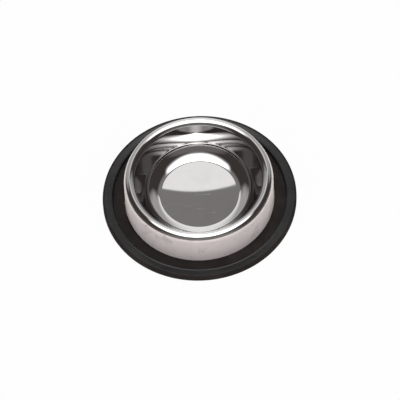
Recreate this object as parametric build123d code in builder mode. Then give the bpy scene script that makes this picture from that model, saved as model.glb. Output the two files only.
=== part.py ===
from build123d import *
import os
from math import asin, cos, degrees, radians, sin, tan

# A no-tip pet bowl: a pressed steel dish whose broad rolled rim laps over the rolled shoulder of an upright
# steel skirt, and a rubber ring that grips the skirt's flange and stands on the table.
# Millimetres, +Z up. The origin is on the table, on the bowl's axis.

# Steel sheet and the lapped seam that joins dish and skirt
sheet = 0.6
seam_gap = 0.3         # between the two rolls at the crown, and between rubber and steel
seam_nip = 0.07        # between the two rolls at the edge of the rim

# Dish
bowl_height = 30.9
rim_radius = 57.4      # outside of the shoulder
rim_roll = 4.4         # outside radius of the rolled rim and of the shoulder under it
wall_draft = 24.0      # degrees off upright, at the rim
wall_bow = 1.5         # degrees that the wall leans out more at its foot
dish_fillet = 13.5     # between floor and wall, on the food side
floor_height = 6.9     # food side of the floor, above the table

# Skirt
curl_reach = 30.0      # degrees that the shoulder's edge goes past the crown, inside the rim
skirt_flare = 0.5      # degrees off upright
flange_width = 13.4    # from the foot corner to the flange's edge
foot_bend = 0.3        # inside radius of the bend at the foot

# Rubber ring
web = 0.8              # rubber under the flange
lip = 1.1              # rubber over the flange, beside the skirt
lip_fall = 0.3         # how far the lip sinks from the skirt to the step
ring_wall = 3.7        # rubber outside the flange's edge
ring_height = 5.6
band_width = 7.5       # raised outer band
band_fall = 0.4        # how far the band sinks from its outer edge to the step
step_run = 0.8         # slope of the step, seen from above
tread_round = 0.8      # lower outer edge
crown_round = 1.6      # upper outer edge
step_round = 1.0       # upper edge of the step
valley_round = 0.7     # foot of the step
lip_round = 0.2        # thin edges of the lip and the web

# The rim is rolled about one circle, and the shoulder about one that lies a sheet and a gap lower
roll_r = rim_radius - rim_roll
roll_z = bowl_height - rim_roll
shoulder_drop = sheet + seam_gap
shoulder_roll_z = roll_z - shoulder_drop

# The rim ends where its inside comes within the nip of the shoulder
nip_radius = rim_roll - sheet - seam_nip
rim_edge = degrees(asin((rim_roll**2 - shoulder_drop**2 - nip_radius**2) / (2 * nip_radius * shoulder_drop)))
rim_turn = 180 - wall_draft - rim_edge

# The slightly bowed wall is tangent to the rim above and to the fillet below
draft = radians(wall_draft)
foot_draft = radians(wall_draft + wall_bow)
wall_top = (roll_r - rim_roll * cos(draft), roll_z + rim_roll * sin(draft))
fillet_top_z = floor_height + dish_fillet * (1 - sin(foot_draft))
wall_radius = (wall_top[1] - fillet_top_z) / (sin(foot_draft) - sin(draft))
fillet_top_r = wall_top[0] - wall_radius * (cos(draft) - cos(foot_draft))
floor_radius = fillet_top_r - dish_fillet * cos(foot_draft)

# Corners of the skirt's outer face
flare = radians(skirt_flare)
flange_top = web + sheet
shoulder = (roll_r + rim_roll * cos(flare), shoulder_roll_z + rim_roll * sin(flare))
foot_r = shoulder[0] + (shoulder[1] - flange_top) * tan(flare)
flange_r = foot_r + flange_width

# Corners of the rubber ring, which follows the flange and the foot of the skirt
groove_r = flange_r + seam_gap
ring_radius = groove_r + ring_wall
step_r = ring_radius - band_width
lip_z = flange_top + lip
lip_foot_r = foot_r + seam_gap / cos(flare)
lip_r = lip_foot_r - lip * tan(flare)
web_r = foot_r + foot_bend

os.makedirs("parts", exist_ok=True)

# Dish: floor, fillet, wall and rolled rim, drawn along the food side and thickened outwards
with BuildPart() as dish:
    with BuildSketch(Plane.XZ):
        with BuildLine():
            Line((0, floor_height), (floor_radius, floor_height))
            JernArc((floor_radius, floor_height), (1, 0), dish_fillet, 90 - wall_draft - wall_bow)
            JernArc((fillet_top_r, fillet_top_z), (sin(foot_draft), cos(foot_draft)), wall_radius, wall_bow)
            JernArc(wall_top, (sin(draft), cos(draft)), rim_roll, -rim_turn)
            offset(amount=sheet, side=Side.RIGHT)
        make_face()
    revolve(axis=Axis.Z)
dish.part.label = "dish"
export_step(dish.part, "parts/dish.step")

# Skirt: rolled shoulder, upright wall, foot and flange, drawn along the outer face and thickened inwards
curl = radians(90 + curl_reach)
with BuildPart() as skirt:
    with BuildSketch(Plane.XZ):
        with BuildLine():
            JernArc(
                (roll_r + rim_roll * cos(curl), shoulder_roll_z + rim_roll * sin(curl)),
                (sin(curl), -cos(curl)),
                rim_roll,
                skirt_flare - curl_reach - 90,
            )
            FilletPolyline(shoulder, (foot_r, flange_top), (flange_r, flange_top), radius=foot_bend)
            offset(amount=sheet, side=Side.RIGHT)
        make_face()
    revolve(axis=Axis.Z)
skirt.part.label = "skirt"
export_step(skirt.part, "parts/skirt.step")

# Rubber ring: tread, outer side, band, step, lip, groove for the flange, and the web under it
with BuildPart() as rubber_ring:
    with BuildSketch(Plane.XZ):
        with BuildLine():
            FilletPolyline(
                (web_r, 0),
                (ring_radius, 0),
                (ring_radius, ring_height),
                (step_r, ring_height - band_fall),
                (step_r - step_run, lip_z - lip_fall),
                (lip_r, lip_z),
                (lip_foot_r, flange_top),
                (groove_r, flange_top),
                (groove_r, web),
                (web_r, web),
                radius=[
                    lip_round,
                    tread_round,
                    crown_round,
                    step_round,
                    valley_round,
                    lip_round,
                    foot_bend + seam_gap,
                    0,
                    0,
                    lip_round,
                ],
                close=True,
            )
        make_face()
    revolve(axis=Axis.Z)
rubber_ring.part.label = "rubber_ring"
export_step(rubber_ring.part, "parts/rubber_ring.step")
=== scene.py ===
from math import asin, cos, pi, radians, sin, tan

import bmesh
import bpy
from mathutils import Matrix, Vector


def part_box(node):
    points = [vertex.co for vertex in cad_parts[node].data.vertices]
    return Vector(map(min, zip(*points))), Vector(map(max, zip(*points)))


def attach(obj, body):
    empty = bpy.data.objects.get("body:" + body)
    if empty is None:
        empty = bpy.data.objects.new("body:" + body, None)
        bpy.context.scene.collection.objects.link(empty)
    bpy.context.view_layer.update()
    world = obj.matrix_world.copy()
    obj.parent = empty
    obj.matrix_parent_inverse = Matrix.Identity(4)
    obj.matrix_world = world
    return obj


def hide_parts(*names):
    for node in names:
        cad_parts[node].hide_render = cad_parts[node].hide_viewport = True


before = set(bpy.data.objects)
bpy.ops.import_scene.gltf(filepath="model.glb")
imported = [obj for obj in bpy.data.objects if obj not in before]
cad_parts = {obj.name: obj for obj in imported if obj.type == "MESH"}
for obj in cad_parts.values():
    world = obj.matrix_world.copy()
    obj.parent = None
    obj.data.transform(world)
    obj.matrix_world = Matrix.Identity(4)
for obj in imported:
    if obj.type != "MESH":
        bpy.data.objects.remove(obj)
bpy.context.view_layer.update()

# A no-tip pet bowl on a white studio floor: a mirror-polished dish whose broad rolled rim laps over
# an upright satin skirt, and a rubber ring round the foot.
# Metres, +Z up. The origin is on the table, on the bowl's axis.

mm = 0.001

# Steel sheet, the lapped seam and the bends
sheet = 0.6 * mm
seam_gap = 0.3 * mm
seam_nip = 0.07 * mm
rim_roll = 4.4 * mm
wall_draft = radians(24)
wall_bow = radians(1.5)
dish_fillet = 13.5 * mm
curl_reach = radians(30)
skirt_flare = radians(0.5)
flange_width = 13.4 * mm
foot_bend = 0.3 * mm
cut_round = 0.1 * mm                # cut edges of the sheet, deburred

# Rubber section
ring_height = 5.6 * mm
lip = 1.1 * mm
lip_fall = 0.3 * mm
band_width = 7.5 * mm
band_fall = 0.4 * mm
step_run = 0.8 * mm
tread_round = 0.8 * mm
crown_round = 1.6 * mm
step_round = 1.0 * mm
valley_round = 0.7 * mm
bead_width = 1.2 * mm               # raised edge of the band, along the step
bead_rise = 0.1 * mm
bead_round = 0.5 * mm
lip_round = 0.2 * mm

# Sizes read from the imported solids
dish_low, dish_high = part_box("dish")
skirt_low, skirt_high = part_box("skirt")
ring_low, ring_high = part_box("rubber_ring")
floor_height = dish_low.z + sheet
flange_radius = skirt_high.x
flange_top = skirt_low.z + sheet
ring_radius = min(ring_high.x, -ring_low.x)

# The rim ends where its inside comes within the nip of the shoulder below it
shoulder_drop = sheet + seam_gap
nip_radius = rim_roll - sheet - seam_nip
rim_edge = asin((rim_roll**2 - shoulder_drop**2 - nip_radius**2) / (2 * nip_radius * shoulder_drop))
rim_turn = pi - wall_draft - rim_edge

# Places that follow from those sizes
roll_r = dish_high.x - rim_roll * cos(rim_edge)
roll_z = dish_high.z - rim_roll
shoulder_roll_z = roll_z - shoulder_drop
wall_top = (roll_r - rim_roll * cos(wall_draft), roll_z + rim_roll * sin(wall_draft))
foot_draft = wall_draft + wall_bow
fillet_top_z = floor_height + dish_fillet * (1 - sin(foot_draft))
wall_radius = (wall_top[1] - fillet_top_z) / (sin(foot_draft) - sin(wall_draft))
fillet_top_r = wall_top[0] - wall_radius * (cos(wall_draft) - cos(foot_draft))
floor_radius = fillet_top_r - dish_fillet * cos(foot_draft)
wall_centre = (fillet_top_r - wall_radius * cos(foot_draft), fillet_top_z + wall_radius * sin(foot_draft))
foot_r = flange_radius - flange_width
groove_r = flange_radius + seam_gap
step_r = ring_radius - band_width
lip_z = flange_top + lip
lip_foot_r = foot_r + seam_gap / cos(skirt_flare)
lip_r = lip_foot_r - lip * tan(skirt_flare)
web_r = foot_r + foot_bend

# Fineness of the spun meshes
turn_steps = 256
ring_spacing = 1.2 * mm             # longest straight edge left in a section
arc_step = radians(3)
fillet_step = radians(1.5)
corner_steps = 6
sharp_angle = radians(50)


class Section:
    """A wire of (radius, height) points, drawn in the XZ plane and spun about the Z axis."""

    def __init__(self, *points):
        self.mesh = bmesh.new()
        self.start = self.mesh.verts.new((points[0][0], 0, points[0][1]))
        self.tip = self.start
        self.corners = [self.start]
        for point in points[1:]:
            self.line(point)

    def line(self, point):
        """A straight edge from the tip to a point."""
        made = bmesh.ops.extrude_vert_indiv(self.mesh, verts=[self.tip])
        self.tip = made["verts"][0]
        self.tip.co = (point[0], 0, point[1])
        self.corners.append(self.tip)

    def arc(self, centre, turn, step=arc_step):
        """An arc from the tip about a centre; a positive turn goes anticlockwise."""
        made = bmesh.ops.spin(
            self.mesh,
            geom=[self.tip],
            cent=(centre[0], 0, centre[1]),
            axis=(0, -1, 0),
            angle=turn,
            steps=max(2, round(abs(turn) / step)),
        )
        self.tip = next(v for v in made["geom_last"] if isinstance(v, bmesh.types.BMVert))

    def close(self):
        self.mesh.edges.new((self.tip, self.start))

    def round_corner(self, corner, radius):
        """Rounds a corner where two straight edges meet."""
        here = corner.co
        one, other = (edge.other_vert(corner).co - here for edge in corner.link_edges)
        bmesh.ops.bevel(
            self.mesh,
            geom=[corner],
            offset=radius / tan(one.angle(other) / 2),
            offset_type="OFFSET",
            segments=corner_steps,
            profile=0.5,
            affect="VERTICES",
            material=-1,
        )

    def spin(self):
        """Spins the section a full turn, with the straight edges divided first so that shading stays true."""
        for edge in self.mesh.edges[:]:
            cuts = int(edge.calc_length() / ring_spacing)
            if cuts:
                bmesh.ops.subdivide_edges(self.mesh, edges=[edge], cuts=cuts)
        bmesh.ops.spin(
            self.mesh,
            geom=self.mesh.verts[:] + self.mesh.edges[:],
            cent=(0, 0, 0),
            axis=(0, 0, 1),
            angle=2 * pi,
            steps=turn_steps,
            use_merge=True,
        )
        bmesh.ops.remove_doubles(self.mesh, verts=self.mesh.verts, dist=1e-7)
        bmesh.ops.recalc_face_normals(self.mesh, faces=self.mesh.faces)
        return self.mesh

    def spin_sheet(self):
        """Spins the section into a sheet of steel with deburred cut edges."""
        shell = self.spin()
        bmesh.ops.solidify(shell, geom=shell.faces[:], thickness=sheet)
        bmesh.ops.bevel(
            shell,
            geom=[edge for edge in shell.edges if edge.calc_face_angle() > sharp_angle],
            offset=cut_round,
            offset_type="OFFSET",
            segments=2,
            profile=0.5,
            affect="EDGES",
            material=-1,
        )
        return shell


def piece(name, mesh, material, node):
    """Turns a finished mesh into the object that stands for a solid of the frame."""
    for face in mesh.faces:
        face.smooth = True
    for edge in mesh.edges:
        edge.smooth = edge.calc_face_angle() < sharp_angle
    made = placed(name, mesh, material)
    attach(made, "root")
    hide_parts(node)
    return made


def placed(name, mesh, material):
    """An object at the origin that holds a finished mesh."""
    data = bpy.data.meshes.new(name)
    mesh.to_mesh(data)
    mesh.free()
    data.materials.append(material)
    made = bpy.data.objects.new(name, data)
    bpy.context.scene.collection.objects.link(made)
    return made


def dish(material):
    """Floor, fillet, slightly bowed wall and the broad roll that laps over the skirt's shoulder."""
    section = Section((0, floor_height), (floor_radius, floor_height))
    section.arc((floor_radius, floor_height + dish_fillet), pi / 2 - foot_draft, fillet_step)
    section.arc(wall_centre, wall_bow, ring_spacing / wall_radius)
    section.arc((roll_r, roll_z), -rim_turn)
    return piece("polished_dish", section.spin_sheet(), material, "dish")


def skirt(material):
    """Shoulder rolled under the rim, upright wall, foot and the flange that the rubber grips."""
    start = pi / 2 + curl_reach
    section = Section((roll_r + rim_roll * cos(start), shoulder_roll_z + rim_roll * sin(start)))
    section.arc((roll_r, shoulder_roll_z), skirt_flare - start)
    foot = len(section.corners)
    section.line((foot_r, flange_top))
    section.line((flange_radius, flange_top))
    section.round_corner(section.corners[foot], foot_bend)
    return piece("satin_skirt", section.spin_sheet(), material, "skirt")


def rubber_ring(material):
    """Tread, outer side, raised band, step, lip and the groove round the flange."""
    corners = (
        ((web_r, 0), lip_round),
        ((ring_radius, 0), tread_round),
        ((ring_radius, ring_height), crown_round),
        ((step_r + bead_width, ring_height - band_fall), step_round),
        ((step_r, ring_height - band_fall + bead_rise), bead_round),
        ((step_r - step_run, lip_z - lip_fall), valley_round),
        ((lip_r, lip_z), lip_round),
        ((lip_foot_r, flange_top), foot_bend + seam_gap),
        ((groove_r, flange_top), 0),
        ((groove_r, skirt_low.z), 0),
        ((web_r, skirt_low.z), lip_round),
    )
    section = Section(*(point for point, _ in corners))
    section.close()
    for corner, (_, radius) in zip(section.corners, corners):
        if radius:
            section.round_corner(corner, radius)
    return piece("rubber_grip_ring", section.spin(), material, "rubber_ring")


class Value:
    """A shader socket. Sums and products of values add the Math nodes that work them out."""

    def __init__(self, graph, socket):
        self.graph = graph
        self.socket = socket

    def __getitem__(self, name):
        """Another output of the same node."""
        return Value(self.graph, self.socket.node.outputs[name])

    def __add__(self, other):
        return self.graph.math("ADD", self, other)

    def __sub__(self, other):
        return self.graph.math("SUBTRACT", self, other)

    def __rsub__(self, other):
        return self.graph.math("SUBTRACT", other, self)

    def __mul__(self, other):
        return self.graph.math("MULTIPLY", self, other)

    def __truediv__(self, other):
        return self.graph.math("DIVIDE", self, other)

    def __rtruediv__(self, other):
        return self.graph.math("DIVIDE", other, self)

    def __pow__(self, other):
        return self.graph.math("POWER", self, other)

    def __gt__(self, other):
        return self.graph.math("GREATER_THAN", self, other)

    def __neg__(self):
        return 0 - self

    __radd__ = __add__
    __rmul__ = __mul__


class Graph:
    """The nodes of one material or of the world."""

    def __init__(self, owner):
        owner.use_nodes = True
        self.tree = owner.node_tree
        self.tree.nodes.clear()

    def node(self, kind, settings=None, sockets=None, output=0):
        """Makes a node: its settings first, then the values or links of its sockets."""
        made = self.tree.nodes.new(kind)
        for name, value in (settings or {}).items():
            setattr(made, name, value)
        for name, value in (sockets or {}).items():
            if isinstance(value, Value):
                self.tree.links.new(value.socket, made.inputs[name])
            else:
                made.inputs[name].default_value = value
        return Value(self, made.outputs[output]) if made.outputs else None

    def math(self, operation, one, other):
        return self.node("ShaderNodeMath", {"operation": operation}, {0: one, 1: other})

    def place(self):
        return self.node("ShaderNodeTexCoord", output="Object")

    def parts(self, vector):
        """The three parts of a vector."""
        xyz = self.node("ShaderNodeSeparateXYZ", sockets={0: vector})
        return xyz["X"], xyz["Y"], xyz["Z"]

    def vector(self, x, y, z):
        return self.node("ShaderNodeCombineXYZ", sockets={"X": x, "Y": y, "Z": z})

    def noise(self, vector, scale, detail=2.0, roughness=0.5):
        levels = {"Vector": vector, "Scale": scale, "Detail": detail, "Roughness": roughness}
        return self.node("ShaderNodeTexNoise", sockets=levels)

    def ramp(self, value, start, end):
        """Rises smoothly from 0 to 1 as the value goes from start to end."""
        limits = {"Value": value, "From Min": start, "From Max": end}
        return self.node("ShaderNodeMapRange", {"interpolation_type": "SMOOTHSTEP"}, limits)

    def mix(self, factor, one, other):
        """A colour between two, by a factor."""
        return self.node("ShaderNodeMix", {"data_type": "RGBA"}, {0: factor, 6: one, 7: other}, 2)

    def bump(self, height):
        """A normal from a height given in millimetres."""
        return self.node("ShaderNodeBump", sockets={"Height": height, "Distance": mm})

    def principled(self, **sockets):
        """The main shader; its sockets are named in small letters."""
        named = {}
        for name, value in sockets.items():
            named[name.replace("_", " ").title().replace("Ior", "IOR")] = value
        return self.node("ShaderNodeBsdfPrincipled", sockets=named)

    def output(self, shader):
        self.node("ShaderNodeOutputMaterial", sockets={"Surface": shader})

    def surface(self, **sockets):
        """A material of one main shader."""
        self.output(self.principled(**sockets))

    def scratches(self, place, heading, length, width, share):
        """Hairlines that run one way over the surface; share sets how few show."""
        stretch = (1 / length, 1 / width, 1 / length)
        turned = self.node(
            "ShaderNodeMapping",
            sockets={"Vector": place, "Rotation": (0, 0, heading), "Scale": stretch},
        )
        return self.ramp(self.noise(turned, scale=1.0, detail=1.0), share, share + 0.06)


# Colours of the pieces, clean and marked, and where their finishes change
mirror_clean = (0.615, 0.603, 0.60, 1)
mirror_smudged = (0.59, 0.578, 0.572, 1)
satin_clean = (0.82, 0.752, 0.737, 1)
satin_marked = (0.56, 0.507, 0.493, 1)
rubbed_black = (0.011, 0.0105, 0.0108, 1)
rubbed_bloom = (0.016, 0.015, 0.0152, 1)
# The matt black is lighter and warmer than the rubbed black: partly the rubber's duller finish, partly
# painted reflection of the satin skirt on the lip
matt_black = (0.016, 0.0132, 0.0124, 1)
matt_bloom = (0.024, 0.0198, 0.0185, 1)
hairline_headings = (0.3, 1.4, 2.5)
floor_warp = 950                    # millimetres of rise for each cubic metre of x * x * y
polish_rise = (2.2 * mm, 2.9 * mm)   # above the centre of the shoulder's roll
rubbed_inset = (1.3 * mm, 2.2 * mm)  # inside the ring's outer side


def polished_steel():
    """Mirror-polished sheet, a little warped, with faint polishing rings, hairline scratches and smudges."""
    material = bpy.data.materials.new("polished_steel")
    g = Graph(material)
    place = g.place()
    x, y, z = g.parts(place)
    reach = (x * x + y * y) ** 0.5
    rings = g.noise(g.vector(reach, z, x * 0.03), scale=900, detail=3.0)
    smudges = g.ramp(g.noise(place, scale=60, detail=4.0, roughness=0.6), 0.45, 0.75)
    waves = g.noise(place, scale=70, detail=0.0)
    hairlines = 0
    for heading in hairline_headings:
        hairlines = hairlines + g.scratches(place, heading, length=25 * mm, width=0.3 * mm, share=0.74)
    g.surface(
        base_color=g.mix(smudges, mirror_clean, mirror_smudged),
        metallic=1.0,
        roughness=0.004 + smudges * 0.006 + rings * 0.005 + hairlines * 0.07,
        normal=g.bump(waves * 0.0008 + x * x * y * floor_warp),
    )
    return material


def satin_steel():
    """Satin sheet, brushed round the axis, with blotches and marks, and polished on top of the shoulder."""
    material = bpy.data.materials.new("satin_steel")
    g = Graph(material)
    place = g.place()
    x, y, z = g.parts(place)
    reach = (x * x + y * y) ** 0.5
    brushing = g.noise(g.vector(x * 25, y * 25, (z + reach) * 1500), scale=1.0, detail=3.0)
    blotches = g.noise(place, scale=90, detail=4.0, roughness=0.6)
    marks = g.ramp(g.noise(place, scale=110, detail=6.0, roughness=0.6), 0.54, 0.66)
    polish = g.ramp(z - shoulder_roll_z, *polish_rise)
    g.surface(
        base_color=g.mix(marks * 0.5 + blotches * 0.4, satin_clean, satin_marked),
        metallic=0.3 + polish * 0.7,
        roughness=(0.66 + blotches * 0.10 + brushing * 0.06) * (1 - polish * 0.8),
        normal=g.bump(brushing * 0.002 + blotches * 0.01),
    )
    return material


def black_rubber():
    """Moulded rubber with a fine grain and a dull bloom, rubbed on the band and matt beside it; the matt
    black is lighter and warmer, partly a duller finish and partly painted reflection of the satin skirt on
    the lip.
    """
    material = bpy.data.materials.new("black_rubber")
    g = Graph(material)
    place = g.place()
    x, y, _ = g.parts(place)
    reach = (x * x + y * y) ** 0.5
    grain = g.noise(place, scale=1500)
    bloom = g.ramp(g.noise(place, scale=50, detail=4.0, roughness=0.6), 0.4, 0.7)
    normal = g.bump(grain * 0.003)
    inner = g.ramp(reach, step_r - 2 * step_run, step_r - step_run)
    outer = g.ramp(ring_radius - reach, *rubbed_inset)
    rubbed = g.principled(
        base_color=g.mix(bloom, rubbed_black, rubbed_bloom),
        roughness=0.14 + bloom * 0.05 + grain * 0.03,
        specular_ior_level=0.22,
        normal=normal,
    )
    # Matt lip and outer side, whose lighter, warmer black is partly painted reflection of the skirt on the
    # lip
    matt = g.principled(
        base_color=g.mix(bloom, matt_black, matt_bloom),
        roughness=0.8,
        specular_ior_level=0.1,
        normal=normal,
    )
    g.output(g.node("ShaderNodeMixShader", sockets={0: inner * outer, 1: matt, 2: rubbed}))
    return material


# Camera, from the photograph's viewing angle
camera_distance = 2.5
camera_elevation = radians(56.40)
camera_roll = radians(-3.36)
camera_lens = 292.2
target = Vector((0, 0, 15 * mm))
aim_right = 0.72 * mm               # where the view's centre lies beside the target
aim_down = 9.13 * mm


def add_camera():
    data = bpy.data.cameras.new("camera")
    data.lens = camera_lens
    camera = bpy.data.objects.new("camera", data)
    bpy.context.scene.collection.objects.link(camera)
    backward = Vector((0, -cos(camera_elevation), sin(camera_elevation)))
    camera.location = target + camera_distance * backward
    turn = Matrix.Rotation(camera_roll, 3, backward)
    right = turn @ Vector((1, 0, 0))
    up = turn @ backward.cross(Vector((1, 0, 0)))
    aim = target + aim_right * right - aim_down * up
    away = (camera.location - aim).normalized()
    right = up.cross(away).normalized()
    axes = Matrix((right, away.cross(right), away)).transposed()
    camera.rotation_euler = axes.to_euler()
    bpy.context.scene.camera = camera


# Studio: levels of light, where 1 is white, and panels measured at one unit's distance from the bowl
white = (1, 1, 1, 1)
dark_room = (0.062, 0.053, 0.049, 1)
down = (-9.1, -9.0)                 # start of a panel that stands on the floor
gable_edge = (0.68, 0.54)
floor_half = 4.0
floor_grey = (0.5, 0.5, 0.5, 1)     # what the floor throws back on the bowl
floor_glow = 0.97                   # share of plain white where the floor is seen or mirrored
lamp_strength = 1.45
lamp_spread = radians(30)
lamp_elevation = radians(30)
lamp_turn = radians(60)             # of each lamp, to the left and to the right of the front


def background_rays(g):
    """1 for rays that show the background: seen directly, in metal or through glass."""
    path = g.node("ShaderNodeLightPath", output="Is Camera Ray")
    return g.math("MINIMUM", path + path["Is Glossy Ray"] + path["Is Transmission Ray"], 1)


def floor_white():
    """White to the eye and in metal, with a small matt share that keeps the shadow."""
    material = bpy.data.materials.new("floor_white")
    g = Graph(material)
    matt = g.node("ShaderNodeBsdfDiffuse", sockets={"Color": floor_grey})
    glow = g.node("ShaderNodeEmission", sockets={"Color": white, "Strength": 1})
    g.output(g.node("ShaderNodeMixShader", sockets={0: background_rays(g) * floor_glow, 1: matt, 2: glow}))
    material.cycles.emission_sampling = "NONE"
    return material


def add_floor():
    mesh = bmesh.new()
    bmesh.ops.create_grid(mesh, x_segments=1, y_segments=1, size=floor_half)
    placed("studio_floor", mesh, floor_white())


def add_lamp(name, turn):
    """A soft distant lamp in front of the bowl, which lights matt surfaces and isn't mirrored by metal."""
    data = bpy.data.lights.new(name, "SUN")
    data.energy = lamp_strength
    data.angle = lamp_spread
    lamp = bpy.data.objects.new(name, data)
    lamp.rotation_euler = (pi / 2 - lamp_elevation, 0, turn)
    lamp.visible_glossy = False
    bpy.context.scene.collection.objects.link(lamp)


def panel(g, across, along, away, half_width, soft_side, start, end):
    """Mask of a flat panel that faces the bowl, one unit away; it fades in over start and out over end."""
    side = g.math("ABSOLUTE", across / away, 0)
    rise = along / away
    width = g.ramp(side, half_width + soft_side, half_width)
    return width * g.ramp(rise, *start) * g.ramp(rise, *end) * (away > 0)


def add_world():
    """A dim room with a pale backdrop behind the bowl, a gabled softbox above it and a grey front."""
    world = bpy.data.worlds.new("studio")
    bpy.context.scene.world = world
    g = Graph(world)
    x, y, z = g.parts(g.node("ShaderNodeTexCoord", output="Generated"))
    wall = 0.49 * panel(g, x, z, y, half_width=0.80, soft_side=1.10, start=down, end=(1.7, 1.2))
    backdrop = 1.22 * panel(g, x, z, y, half_width=0, soft_side=0.66, start=down, end=(1.510, 1.507))
    front = 0.14 * panel(g, x, z, -y, half_width=0.60, soft_side=1.10, start=down, end=(1.9, 1.2))
    low_front = 0.5 * panel(g, x, z, -y, half_width=1.10, soft_side=0.60, start=down, end=(0.42, 0.30))
    ceiling = panel(g, x, y, z, half_width=0.12, soft_side=0.25, start=(-1.4, -0.4), end=(0.82, 0.76))
    softbox = panel(g, x, y, z, half_width=0.06, soft_side=0.70, start=(-0.95, 0.05), end=(0.627, 0.607))
    gable = g.ramp(g.math("ABSOLUTE", x / z, 0) + y / z, *gable_edge)
    level = 0
    for light in (wall, backdrop, front, low_front, ceiling * 0.235, softbox**3 * gable * 6):
        level = g.math("MAXIMUM", level, light)
    colour = g.mix(g.math("MINIMUM", level, 1), dark_room, white)
    sky = g.node("ShaderNodeBackground", sockets={"Color": colour, "Strength": g.math("MAXIMUM", level, 1)})
    g.node("ShaderNodeOutputWorld", sockets={"Surface": sky})


dish(polished_steel())
skirt(satin_steel())
rubber_ring(black_rubber())
add_floor()
add_camera()
add_lamp("left_lamp", -lamp_turn)
add_lamp("right_lamp", lamp_turn)
add_world()
bpy.context.scene.view_settings.view_transform = "Standard"
